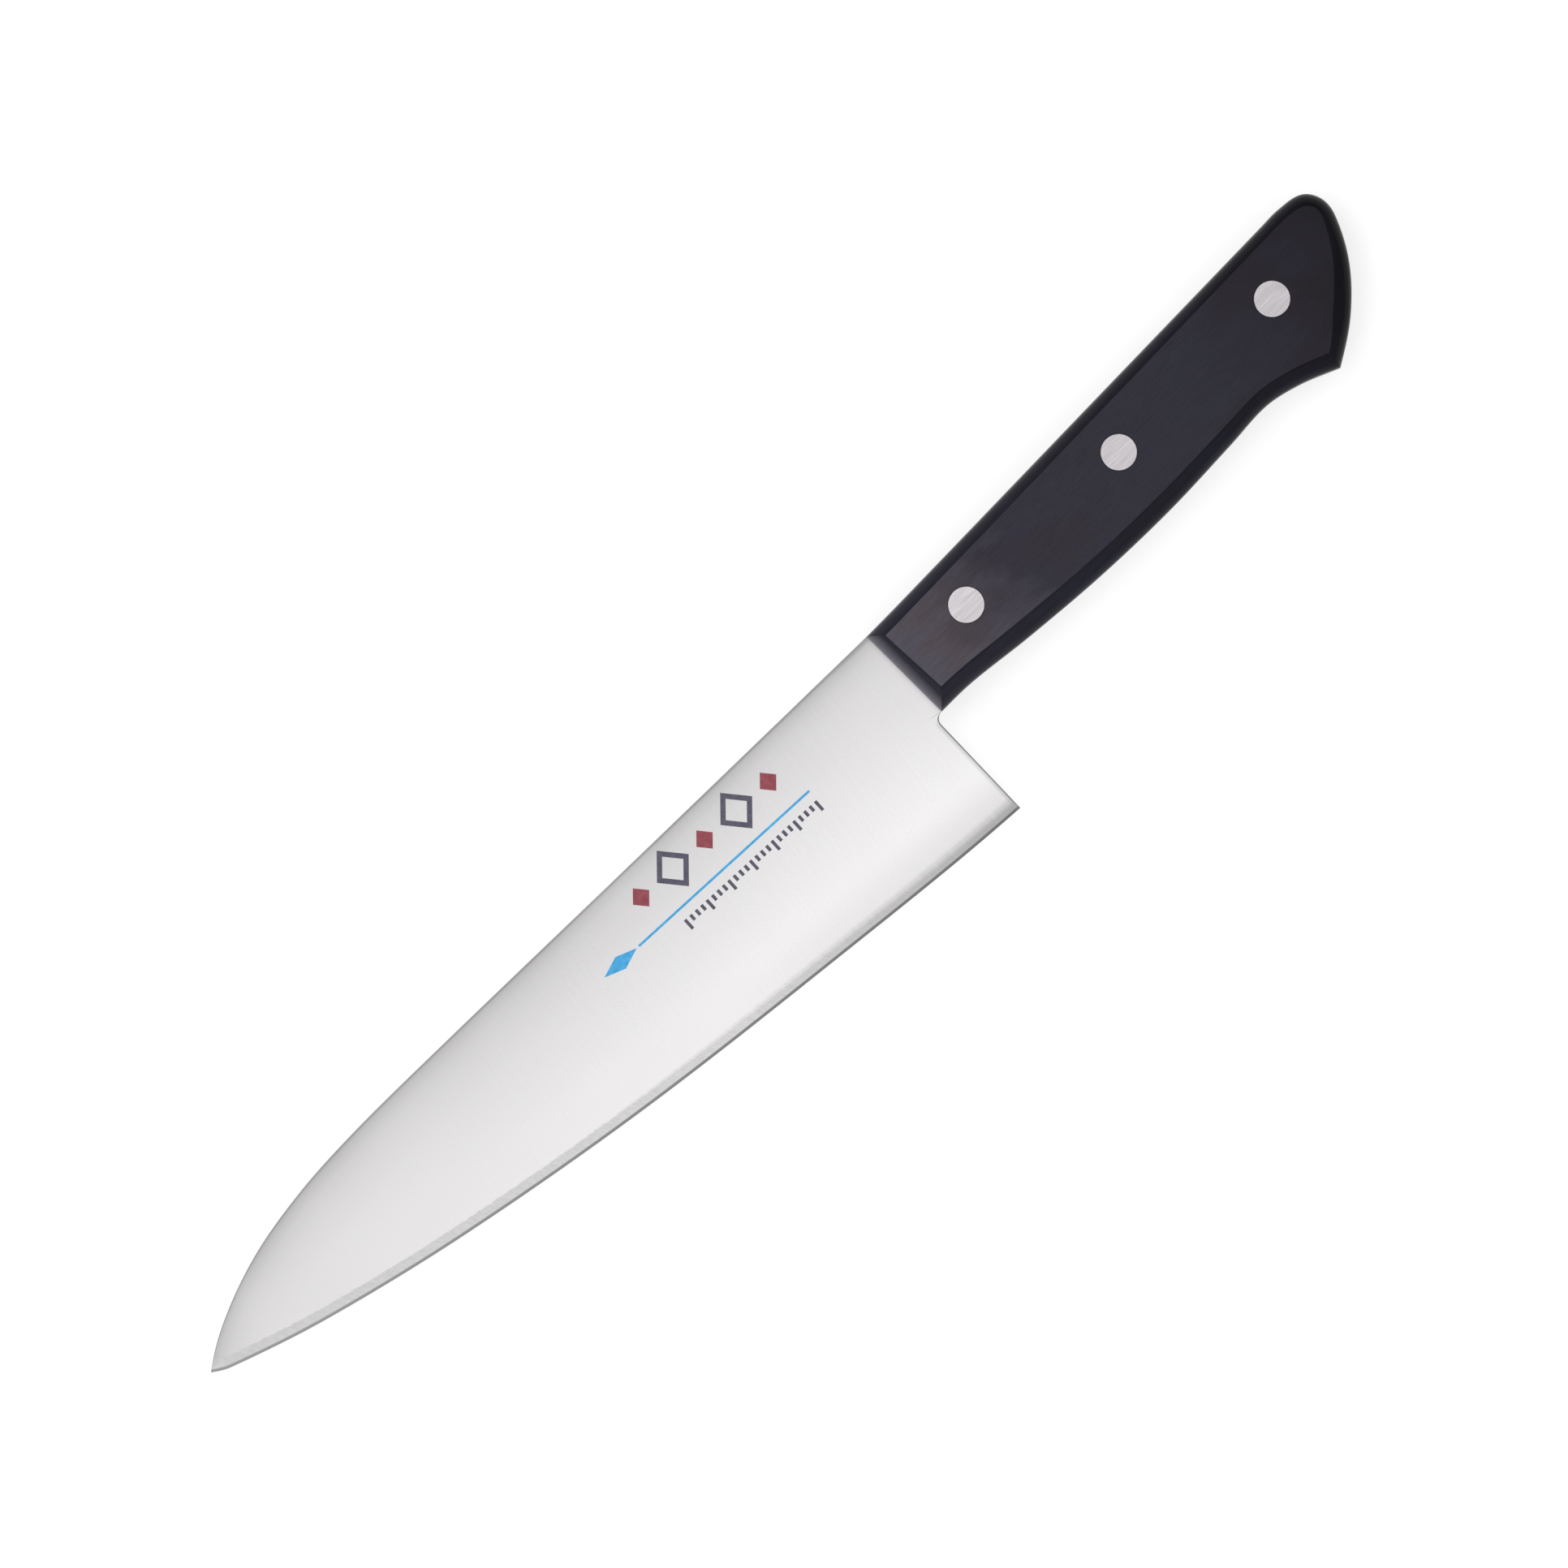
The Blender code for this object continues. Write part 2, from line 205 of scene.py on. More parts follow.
# Surroundings, in metres
CAMERA_HEIGHT = 3.0  # above the middle plane of the steel
CAMERA_AIM = (-31.0, 0.39, 0)  # in the drawing's millimetres
CAMERA_ROLL = math.radians(-45)
FRAME_WIDTH = 0.2995  # of what the camera sees at the middle plane
SENSOR = 36
KEY_PLACE = (-0.2, 0.55, 1.5)
KEY_SIZE = 0.9
KEY_POWER = 8
FLOOR_RADIUS = 12
WALL_HEIGHT = 0.6
FLOOR_LEVEL = 0.45
FLOOR_MOTTLE = 0.005
FLOOR_PATCHES = (3, 3, 3)
FLOOR_GLOW = 0.68  # light of the floor's own, as on a light table
SKY_ACROSS = (-0.35, 0.35, 1.55, 0.41)  # along +Y: two places, then the strength at each
SKY_SIDE = (-0.6, -0.25, 0.25, 1.0)  # along +Y again, for the dark far side
SKY_ALONG = (0.1, 0.5, 1.0, 0.5)  # along +X
SKY_UPWARD = (0.0, 0.6, 0.12, 1.0)  # along +Z
SKY_RING = (0.45, 0.8, 0.5, 0.0)  # along +Z, of the light added all round

# Fineness
SPINE_STEPS = 26
EDGE_STEPS = 60
HANDLE_STEPS = 22
FRONT_STEPS = 24
HEEL_ROWS = 18
CHOIL_STEPS = 9
JOINT_ROWS = 18
EASE_STEPS = 4
RIM_BEVEL_STEPS = 18
CREASE_STEPS = 4
ROUND_STEPS = 96
CREASE_ANGLE = math.radians(28)  # at which shading breaks
WELD = 0.0001
BEND_REACH = 14  # in front of the handle, where the blade's columns start to bend round the heel
LAST_ROW_SHARE = 0.012  # of the blade's height, for its topmost row
BAR_STEP = 1
LOZENGE_STEPS = 8
FLOOR_STEPS = 12
FLOOR_SIDES = 96


# -------------------------------------------------------------------------------------------------- outlines

def smooth_curve(knots, steps, start=None, end=None):
    """Points on a smooth curve through the knots, whose headings at the two ends may be given."""
    points = [Vector(knot) for knot in knots]
    headings = [after - before for before, after in zip(points, points[2:])]
    headings.insert(0, Vector(start) if start else points[1] - points[0])
    headings.append(Vector(end) if end else points[-1] - points[-2])
    curve = []
    for here, there, leaving, arriving in zip(points, points[1:], headings, headings[1:]):
        reach = (there - here).length / 3
        leaving_handle = here + leaving.normalized() * reach
        arriving_handle = there - arriving.normalized() * reach
        curve += interpolate_bezier(here, leaving_handle, arriving_handle, there, steps + 1)[:-1]
    return np.array([(point.x, point.y) for point in curve + [points[-1]]])


def handle_outline(back, butt, belly):
    """Open outline from the upper front corner along the back, round the butt and along the belly."""
    along_back = smooth_curve(back, HANDLE_STEPS, start=BACKWARD)
    round_butt = smooth_curve(butt, HANDLE_STEPS, start=BACKWARD, end=BUTT_INTO_CORNER)
    along_belly = smooth_curve(belly, HANDLE_STEPS, end=FORWARD)
    return np.concatenate([along_back[:-1], round_butt[:-1], along_belly])


def circle(centre, radius):
    turns = np.linspace(0, 2 * math.pi, ROUND_STEPS, endpoint=False)
    return np.stack([centre[0] + radius * np.cos(turns), centre[1] + radius * np.sin(turns)], 1)


def outward(points, closed=False):
    """Outward normals at the points of a clockwise outline, longer at its corners as a mitre is."""
    ends = [points[-1:], points, points[:1]] if closed else [points]
    steps = np.diff(np.concatenate(ends), axis=0)
    normals = np.stack([-steps[:, 1], steps[:, 0]], 1)
    normals /= np.linalg.norm(normals, axis=1)[:, None]
    if not closed:
        normals = np.concatenate([normals[:1], normals, normals[-1:]])
    middle = normals[:-1] + normals[1:]
    return 2 * middle / (middle ** 2).sum(1)[:, None]


SPINE_LINE = smooth_curve(SPINE, SPINE_STEPS, start=SPINE_FROM_TIP)
EDGE_LINE = smooth_curve(EDGE, EDGE_STEPS, start=EDGE_FROM_TIP, end=EDGE_INTO_HEEL)
HANDLE_LINE = handle_outline(HANDLE_BACK, HANDLE_BUTT, HANDLE_BELLY)
FACE_LINE = handle_outline(FACE_BACK, FACE_BUTT, FACE_BELLY)
STATIONS = [((low.x + high.x) / 2 - ORIGIN.x) / MM
            for low, high in (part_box(position + "_rivet_male") for position in POSITIONS)]


# ---------------------------------------------------------------------------------------------- steel's shape

def ground_line():
    """The cutting edge and its run-out below the tang, with the cosine of its slope."""
    slope = EDGE_INTO_HEEL[1] / EDGE_INTO_HEEL[0]
    below_front = EDGE_LINE[-1, 1] - slope * EDGE_LINE[-1, 0]
    past_butt = (HANDLE_LINE[:, 0].max(), GRIND_RUNOUT[1])
    line = np.concatenate([EDGE_LINE, [(0, below_front), GRIND_RUNOUT, past_butt]])
    run, rise = np.gradient(EDGE_LINE, axis=0).T
    slant = np.concatenate([run / np.hypot(run, rise), [1, 1, 1]])
    return line[:, 0], line[:, 1], slant


GROUND_X, GROUND_Y, GROUND_SLANT = ground_line()


def from_edge(x, y):
    """Distance of points from the cutting edge."""
    return (y - np.interp(x, GROUND_X, GROUND_Y)) * np.interp(x, GROUND_X, GROUND_SLANT)


def from_spine(x, y):
    """Distance of points below the spine, and below the handle's back."""
    back = HANDLE_LINE[:HANDLE_LINE[:, 0].argmax()]
    upper = np.concatenate([SPINE_LINE[:-1], back])
    run, rise = np.gradient(upper, axis=0).T
    return (np.interp(x, upper[:, 0], upper[:, 1]) - y) * np.interp(x, upper[:, 0], run / np.hypot(run, rise))


def from_heel(x, y):
    """Distance of points in front of the heel, or the blade's length for those above it and in the handle."""
    xs, ys = heel_line().T
    elsewhere = (y > HANDLE_LINE[-1, 1]) | (x > HANDLE_LINE[-1, 0])
    return np.where(elsewhere, -EDGE_LINE[0, 0], np.interp(-y, -ys, xs) - x)


def steel_half(x, y):
    """Half the thickness of the steel, which tapers to the tip, to the edge and a little to the spine."""
    taper = STEEL_HALF * (1 - (1 - TIP_SHARE) * np.clip(x / EDGE_LINE[0, 0], 0, 1))
    distance = from_edge(x, y)
    near_edge = np.interp(distance, [0, BEVEL_WIDTH, BAND_WIDTH], [0, BEVEL_SHARE, BAND_SHARE])
    up = np.clip((distance - BAND_WIDTH) / (GRIND_WIDTH - BAND_WIDTH), 0, 1)
    share = np.where(distance < BAND_WIDTH, near_edge, 1 - (1 - BAND_SHARE) * (1 - up) ** 2)
    roll = ROLL_DEPTH * np.exp(-np.maximum(from_spine(x, y), 0) / ROLL_REACH) * np.clip(-x / ROLL_FADE, 0, 1)
    return np.maximum(taper * share - roll * share, 0)


# ---------------------------------------------------------------------------------------------- mesh building

class Builder:
    """A mesh under construction, in the drawing's millimetres."""

    def __init__(self):
        self.shape = bmesh.new()

    def ring(self, points, heights):
        """Vertices at plan points, at one height or at one height each."""
        heights = np.broadcast_to(heights, len(points))
        return [self.shape.verts.new((x, y, z)) for (x, y), z in zip(points, heights)]

    def skin(self, rings, closed=True, material=0):
        """Quads between successive rings of equally many vertices."""
        count = len(rings[0])
        for lower, upper in zip(rings, rings[1:]):
            for here in range(count if closed else count - 1):
                beside = (here + 1) % count
                face = self.shape.faces.new((lower[here], lower[beside], upper[beside], upper[here]))
                face.material_index = material

    def fill(self, *loops):
        """A flat face bounded by the first loop, with holes at the others."""
        edges = []
        for loop in loops:
            for ends in zip(loop, loop[1:] + loop[:1]):
                edges.append(self.shape.edges.get(ends) or self.shape.edges.new(ends))
        bmesh.ops.triangle_fill(self.shape, use_beauty=True, use_dissolve=False, edges=edges)

    def crease(self, ring, closed=True):
        """Makes the edges along a ring sharp."""
        for ends in zip(ring, ring[1:] + ring[:1] if closed else ring[1:]):
            self.shape.edges.get(ends).smooth = False

    def mirror(self):
        """Adds the same shape below the middle plane. Welding joins them where they touch the plane."""
        everything = self.shape.verts[:] + self.shape.edges[:] + self.shape.faces[:]
        for copied in bmesh.ops.duplicate(self.shape, geom=everything)["geom"]:
            if isinstance(copied, bmesh.types.BMVert):
                copied.co.z = -copied.co.z

    def finish(self, name, materials):
        """The welded mesh as an object that rides on the knife, shaded smooth between its sharp edges."""
        bmesh.ops.remove_doubles(self.shape, verts=self.shape.verts, dist=WELD)
        bmesh.ops.dissolve_degenerate(self.shape, edges=self.shape.edges, dist=WELD)
        bmesh.ops.recalc_face_normals(self.shape, faces=self.shape.faces)
        for face in self.shape.faces:
            face.smooth = True
        for edge in self.shape.edges:
            if edge.is_manifold and edge.calc_face_angle() > CREASE_ANGLE:
                edge.smooth = False
        self.shape.transform(Matrix.Translation(ORIGIN) @ Matrix.Scale(MM, 4))
        mesh = bpy.data.meshes.new(name)
        self.shape.to_mesh(mesh)
        self.shape.free()
        for made in materials:
            mesh.materials.append(made)
        piece = bpy.data.objects.new(name, mesh)
        bpy.context.scene.collection.objects.link(piece)
        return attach(piece, "root")


def drawn(piece):
    """The piece's vertices as drawing coordinates, one row for each of x, y and z."""
    places = np.zeros(len(piece.data.vertices) * 3)
    piece.data.vertices.foreach_get("co", places)
    return ((places.reshape(-1, 3) - ORIGIN) / MM).T


def measure(piece, name, values):
    """Stores one number at each vertex, for a material to read."""
    attribute = piece.data.attributes.new(name, "FLOAT", "POINT")
    attribute.data.foreach_set("value", values.astype(np.float32))


# ------------------------------------------------------------------------------------------------------ steel

def heel_line():
    """Open outline from the handle's lower front corner round the choil and down to the heel's corner. It has
    points at the tops of the bevel and of the fine grind."""
    turns = np.linspace(math.pi / 2, math.pi, CHOIL_STEPS + 1)[1:]
    centre = HANDLE_LINE[-1] - (0, CHOIL_RADIUS)
    choil = centre + CHOIL_RADIUS * np.stack([np.cos(turns), np.sin(turns)], 1)
    corner = EDGE_LINE[-1]
    down = np.linspace(choil[-1, 1], corner[1] + BAND_WIDTH, HEEL_ROWS + 1)[1:]
    down = np.append(down, [corner[1] + BEVEL_WIDTH, corner[1]])
    along = np.interp(-down, [-choil[-1, 1], -corner[1]], [choil[-1, 0], corner[0]])
    return np.concatenate([choil, np.stack([along, down], 1)])


def blade_rows(upper, last_column):
    """Plan points of the blade's side, as [row from edge to spine][column from tip to handle]. The last
    column is bent to pass round the heel and the choil, and the columns near it bend a part of the way."""
    tip = EDGE_LINE[0]
    heel = EDGE_LINE[-1]
    share = (upper[:, 0] - tip[0]) / (upper[-1, 0] - tip[0])
    lower_x = tip[0] + share * (heel[0] - tip[0])
    lower = np.stack([lower_x, np.interp(lower_x, EDGE_LINE[:, 0], EDGE_LINE[:, 1])], 1)
    span = np.maximum(upper[:, 1] - lower[:, 1], WELD)
    slant = np.interp(lower_x, GROUND_X, GROUND_SLANT)
    band = np.minimum(BAND_WIDTH / slant / span, BAND_LIMIT)
    rest = np.linspace(0, 1 - LAST_ROW_SHARE, len(last_column) - 3)[1:]
    shares = [0 * band, band * BEVEL_WIDTH / BAND_WIDTH, band]
    shares += [band + (1 - band) * rise for rise in rest]
    shares.append(1 + 0 * band)
    rows = np.array([lower + (upper - lower) * portion[:, None] for portion in shares])
    start = upper[-1, 0] - BEND_REACH
    near = np.clip((upper[:, 0] - start) / BEND_REACH, 0, 1)
    weight = near * near * (3 - 2 * near)
    return rows + (last_column - rows[:, -1])[:, None] * weight[None, :, None]


def steel(sides, ground):
    """Blade and tang in one. Its upper half is made of the blade's side, the tang's flat side and a rim with
    rounded corners, and then mirrored."""
    outline = np.concatenate([SPINE_LINE[:-1], HANDLE_LINE, heel_line()])
    joint_top = len(SPINE_LINE)
    joint_foot = len(SPINE_LINE) + len(HANDLE_LINE) - 3
    ease = np.interp(outline[:, 0], [-ROLL_FADE, 0], [SPINE_EASE, TANG_EASE])
    ease[joint_foot + 1:] = HEEL_EASE
    ease = np.minimum(ease, EASE_LIMIT * steel_half(*outline.T))
    normals = outward(outline)
    inset = outline - normals * ease[:, None]
    heights = steel_half(*inset.T)

    joint = np.linspace(inset[joint_foot], inset[joint_top], JOINT_ROWS + 1)[1:]
    last_column = np.concatenate([inset[:joint_foot - 1:-1], joint])
    rows = blade_rows(inset[:joint_top + 1], last_column)
    builder = Builder()
    grid = []
    for row in rows:
        grid.append(builder.ring(row, steel_half(*row.T) if len(grid) else 0))
    builder.skin(grid, closed=False)
    for row in grid[:3]:
        builder.crease(row, closed=False)

    foot_row = len(outline) - 1 - joint_foot
    end = [row[-1] for row in grid]
    tang = builder.ring(inset[joint_top + 1:joint_foot], heights[joint_top + 1:joint_foot])
    holes = []
    for station in STATIONS:
        hole = circle((station, 0), TUBE_RADIUS + PRESS_FIT)
        walls = [builder.ring(hole, STEEL_HALF), builder.ring(hole, 0)]
        builder.skin(walls, material=1)
        holes.append(walls[0])
    builder.fill([end[-1]] + tang + end[foot_row:-1], *holes)

    rim = [grid[-1] + tang + end[foot_row::-1]]
    for turn in np.linspace(0, math.pi / 2, EASE_STEPS + 1)[1:]:
        points = inset + normals * (ease * math.sin(turn))[:, None]
        rim.append(builder.ring(points, heights - ease * (1 - math.cos(turn))))
    rim.append(builder.ring(outline, 0))
    builder.skin(rim, closed=False, material=1)
    builder.mirror()

    piece = builder.finish("steel", [sides, ground])
    x, y, z = drawn(piece)
    measure(piece, "from_edge", from_edge(x, y))
    measure(piece, "from_spine", from_spine(x, y))
    measure(piece, "from_heel", from_heel(x, y))
    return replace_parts(piece, "blade")


# --------------------------------------------------------------------------------------------- handle, rivets

def closed_ring(line):
    """A handle outline with points along its front end too."""
    front = np.linspace(line[-1], line[0], FRONT_STEPS + 1)[1:-1]
    return np.concatenate([line, front])


def handle_scale(name, side, finishes):
    """One scale, on the side given as 1 or -1: its wall, its rounded bevel and its flat face, with rivet
    holes. The finishes are those of the sanded face and of the polished wall and bevel, and the crease
    between face and bevel is painted dark as shade."""
    outer = closed_ring(HANDLE_LINE)
    face = closed_ring(FACE_LINE)
    shoulder = HANDLE_HALF - RIM_BEVEL_DEPTH

    def bevel_ring(turn):
        inward = (1 - math.cos(turn)) / (1 - math.cos(RIM_BEVEL_SWEEP))
        height = shoulder + RIM_BEVEL_DEPTH * math.sin(turn) / math.sin(RIM_BEVEL_SWEEP)
        return outer + (face - outer) * inward, height

    grooved = outer - outward(outer, closed=True) * BOND_GROOVE
    levels = [(grooved, STEEL_HALF), (outer, STEEL_HALF + BOND_GROOVE)]
    for turn in np.linspace(0, RIM_BEVEL_SWEEP * CREASE_SHARE, RIM_BEVEL_STEPS + 1):
        levels.append(bevel_ring(turn))
    below, below_height = levels[-1]
    inside = face - outward(face, closed=True) * CREASE_EASE
    for t in np.linspace(0, 1, CREASE_STEPS + 1)[1:]:
        points = below * (1 - t) ** 2 + face * 2 * t * (1 - t) + inside * t ** 2
        levels.append((points, HANDLE_HALF + (below_height - HANDLE_HALF) * (1 - t) ** 2))
    builder = Builder()
    rings = [builder.ring(points, side * height) for points, height in levels]
    builder.skin(rings[:-CREASE_STEPS], material=1)
    # the rounded crease, painted dark as shade
    builder.skin(rings[-CREASE_STEPS - 1:], material=2)

    head_hole = HEAD_RADIUS + HEAD_FIT
    tube_hole = TUBE_RADIUS + PRESS_FIT
    ledge = HANDLE_HALF - HEAD_THICKNESS - PRESS_FIT
    profile = [(head_hole + HOLE_CHAMFER, HANDLE_HALF), (head_hole, HANDLE_HALF - HOLE_CHAMFER),
               (head_hole, ledge), (tube_hole, ledge), (tube_hole, STEEL_HALF)]
    holes = [[builder.ring(circle((station, 0), radius), side * height) for radius, height in profile]
             for station in STATIONS]
    for hole in holes:
        builder.skin(hole, material=1)
        builder.crease(hole[0])
    builder.fill(rings[-1], *[hole[0] for hole in holes])
    builder.fill(rings[0], *[hole[-1] for hole in holes])
    builder.crease(rings[-1])
    piece = builder.finish(name + "_fine", finishes)
    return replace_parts(piece, name)


def head_profile(side):
    """Profile of a rivet head with an eased rim, from its flat end down to its underside."""
    turns = np.linspace(0, math.pi / 2, EASE_STEPS + 1)
    rim = [(HEAD_RADIUS - HEAD_EASE * (1 - math.sin(turn)), HANDLE_HALF - HEAD_EASE * (1 - math.cos(turn)))
           for turn in turns]
    under = (HEAD_RADIUS, HANDLE_HALF - HEAD_THICKNESS)
    return [(radius, side * height) for radius, height in rim + [under]]


def rivet(position, station, metal):
    """Two halves: a head with a solid shank, and a head with the tube that the shank is driven into."""
    under_head = HANDLE_HALF - HEAD_THICKNESS
    bore = TUBE_RADIUS - TUBE_WALL
    shank = bore - PRESS_FIT
    male = head_profile(1) + [(shank, under_head), (shank, PRESS_FIT - SHANK_END),
                              (shank - PRESS_FIT, -SHANK_END)]
    female = head_profile(-1) + [(TUBE_RADIUS, -under_head), (TUBE_RADIUS, under_head - PRESS_FIT),
                                 (bore, under_head - PRESS_FIT), (bore, -SHANK_END - PRESS_FIT)]
    for half, profile in (("male", male), ("female", female)):
        builder = Builder()
        rings = [builder.ring(circle((station, 0), radius), height) for radius, height in profile]
        builder.skin(rings)
        builder.crease(rings[0])
        builder.fill(rings[0])
        builder.fill(rings[-1])
        name = position + "_rivet_" + half
        piece = builder.finish(name + "_fine", [metal])
        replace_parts(piece, name)


# ------------------------------------------------------------------------------------------------------ print

def stamp(name, loops, ink, hollow=False):
    """A thin film of ink on the blade's left side, through loops of plan points from the outer one inward.
    The last loop bounds a hole if the film is hollow, and otherwise closes on itself."""
    builder = Builder()
    foot = builder.ring(loops[0], steel_half(*loops[0].T))
    inner_foot = builder.ring(loops[-1], steel_half(*loops[-1].T))
    rings = [foot] + [builder.ring(loop, steel_half(*loop.T) + INK_THICKNESS) for loop in loops]
    builder.skin(rings + [inner_foot] if hollow else rings)
    builder.skin([inner_foot, foot])
    return builder.finish(name, [ink])


def print_frame(along, across):
    """Plan points from distances along and above the printed rule."""
    heading = np.subtract(RULE_END, RULE_START)
    heading = heading / np.linalg.norm(heading)
    up = np.array([-heading[1], heading[0]])
    return np.array(RULE_START) + np.multiply.outer(along, heading) + np.multiply.outer(across, up)


def bar_loops(start, end, low, high):
    """Loops of a straight bar with rows of points along it, so that it follows the blade's curved side."""
    count = max(2, round((end - start) / BAR_STEP))
    middle = (low + high) / 2
    inset = BAR_INSET * min(end - start, high - low)
    loops = []
    for keep in SOLID:
        xs = np.linspace(start + inset * (1 - keep), end - inset * (1 - keep), count)
        top = print_frame(xs, np.full(count, middle + (high - middle) * keep))
        foot = print_frame(xs[::-1], np.full(count, middle - (middle - low) * keep))
        loops.append(np.concatenate([top, foot]))
    return loops


def lozenge_loops(centre, height, half_length, half_width, scales):
    """Loops of a lozenge at some shares of its size. It is solid if the last one is zero, or else a frame."""
    corners = np.array([(half_length, 0), (0, -half_width), (-half_length, 0), (0, half_width)])
    around = np.concatenate([np.linspace(here, there, LOZENGE_STEPS, endpoint=False)
                             for here, there in zip(corners, np.roll(corners, -1, axis=0))])
    return [print_frame(centre + around[:, 0] * scale, height + around[:, 1] * scale) for scale in scales]


def print_row(slate, red, blue):
    """A plain rule that a lozenge ends, with a row of lozenges above it and a row of ticks below."""
    stamp("print_rule_lozenge", lozenge_loops(RULE_LOZENGE[0], 0, *RULE_LOZENGE, SOLID), blue)
    start = 2 * RULE_LOZENGE[0] + RULE_GAP
    end = math.dist(RULE_START, RULE_END)
    stamp("print_rule", bar_loops(start, end, -RULE_HALF_WIDTH, RULE_HALF_WIDTH), blue)
    for place in range(ROW_LOZENGES):
        framed = place % 2 == 1
        size, shares, ink = (LOZENGE, (1, FRAME_SHARE), slate) if framed else (SMALL_LOZENGE, SOLID, red)
        loops = lozenge_loops(ROW_START + place * ROW_PITCH, ROW_HEIGHT, *size, shares)
        stamp(f"print_lozenge_{place + 1}", loops, ink, hollow=framed)
    for tick in range(TICKS):
        start = TICK_START + tick * TICK_PITCH
        foot = TICK_FEET[tick % len(TICK_FEET)]
        stamp(f"print_tick_{tick + 1}", bar_loops(start, start + TICK_WIDTH, foot, TICK_TOP), slate)


# -------------------------------------------------------------------------------------------------- materials

class Look:
    """A material and short ways to add nodes to it."""

    def __init__(self, name, **constants):
        self.material = bpy.data.materials.new(name)
        self.material.use_nodes = True
        self.tree = self.material.node_tree
        self.shader = self.tree.nodes["Principled BSDF"]
        for socket, value in constants.items():
            self.shader.inputs[socket.replace("_", " ")].default_value = value
        self.place = self.add("ShaderNodeTexCoord").outputs["Object"]

    def add(self, kind, inputs=(), **settings):
        """A node with its settings, and its first inputs given as values or as outputs of other nodes."""
        node = self.tree.nodes.new(kind)
        for setting, value in settings.items():
            setattr(node, setting, value)
        for socket, value in zip(node.inputs, inputs):
            if isinstance(value, bpy.types.NodeSocket):
                self.tree.links.new(value, socket)
            elif value is not None:
                socket.default_value = value
        return node

    def stretched(self, scales, turn=0):
        """Object coordinates turned about the vertical, then scaled by features per metre on each axis."""
        turned = self.add("ShaderNodeVectorRotate", [self.place, None, None, turn], rotation_type="Z_AXIS")
        return self.add("ShaderNodeVectorMath", [turned.outputs[0], scales], operation="MULTIPLY").outputs[0]

    def noise(self, vector, detail=2.0, roughness=0.5):
        made = self.add("ShaderNodeTexNoise", noise_dimensions="3D")
        made.inputs["Scale"].default_value = 1
        made.inputs["Detail"].default_value = detail
        made.inputs["Roughness"].default_value = roughness
        self.tree.links.new(vector, made.inputs["Vector"])
        return made.outputs[0]

    def along(self):
        """The object coordinate from tip to butt."""
        return self.add("ShaderNodeSeparateXYZ", [self.place]).outputs[0]

    def maths(self, operation, *values):
        return self.add("ShaderNodeMath", values, operation=operation).outputs[0]

    def mixture(self, first, second, share):
        """The share of the first value, and the rest of the second."""
        parts = (self.maths("MULTIPLY", first, share), self.maths("MULTIPLY", second, 1 - share))
        return self.maths("ADD", *parts)

    def spread(self, value, low, high, to_low, to_high, smooth=False):
        """The value carried from one range to another, and held at its ends."""
        return self.add("ShaderNodeMapRange", [value, low, high, to_low, to_high],
                        interpolation_type="SMOOTHSTEP" if smooth else "LINEAR").outputs[0]

    def blend(self, factor, first, second, mode="MIX"):
        """One colour passing into another. Each may be three numbers or the output of a node."""
        made = self.add("ShaderNodeMix", data_type="RGBA", blend_type=mode)
        for socket, value in ((made.inputs[0], factor), (made.inputs[6], first), (made.inputs[7], second)):
            if isinstance(value, bpy.types.NodeSocket):
                self.tree.links.new(value, socket)
            else:
                socket.default_value = (*value, 1) if isinstance(value, tuple) else value
        return made.outputs[2]

    def shaded(self, colour, level):
        """The colour multiplied by one number."""
        level = self.add("ShaderNodeCombineColor", [level, level, level]).outputs[0]
        return self.blend(1.0, colour, level, "MULTIPLY")

    def ramp(self, factor, stops):
        """Colours at places from 0 to 1."""
        made = self.add("ShaderNodeValToRGB", [factor])
        elements = made.color_ramp.elements
        while len(elements) < len(stops):
            elements.new(1)
        for element, (place, colour) in zip(elements, stops):
            element.position = place
            element.color = (*colour, 1)
        return made.outputs[0]

    def bumped(self, height, distance, normal=None):
        made = self.add("ShaderNodeBump")
        made.inputs["Distance"].default_value = distance * MM
        self.tree.links.new(height, made.inputs["Height"])
        if normal:
            self.tree.links.new(normal, made.inputs["Normal"])
        return made.outputs[0]

    def attribute(self, name):
        return self.add("ShaderNodeAttribute", attribute_name=name).outputs["Fac"]

    def drive(self, **sockets):
        for socket, output in sockets.items():
            self.tree.links.new(output, self.shader.inputs[socket.replace("_", " ")])
        return self.material


def grey(level):
    """The steel's colour at a level."""
    return tuple(level * share for share in GREY_TINT)


def greys(stops):
    return [(place, grey(level)) for place, level in stops]


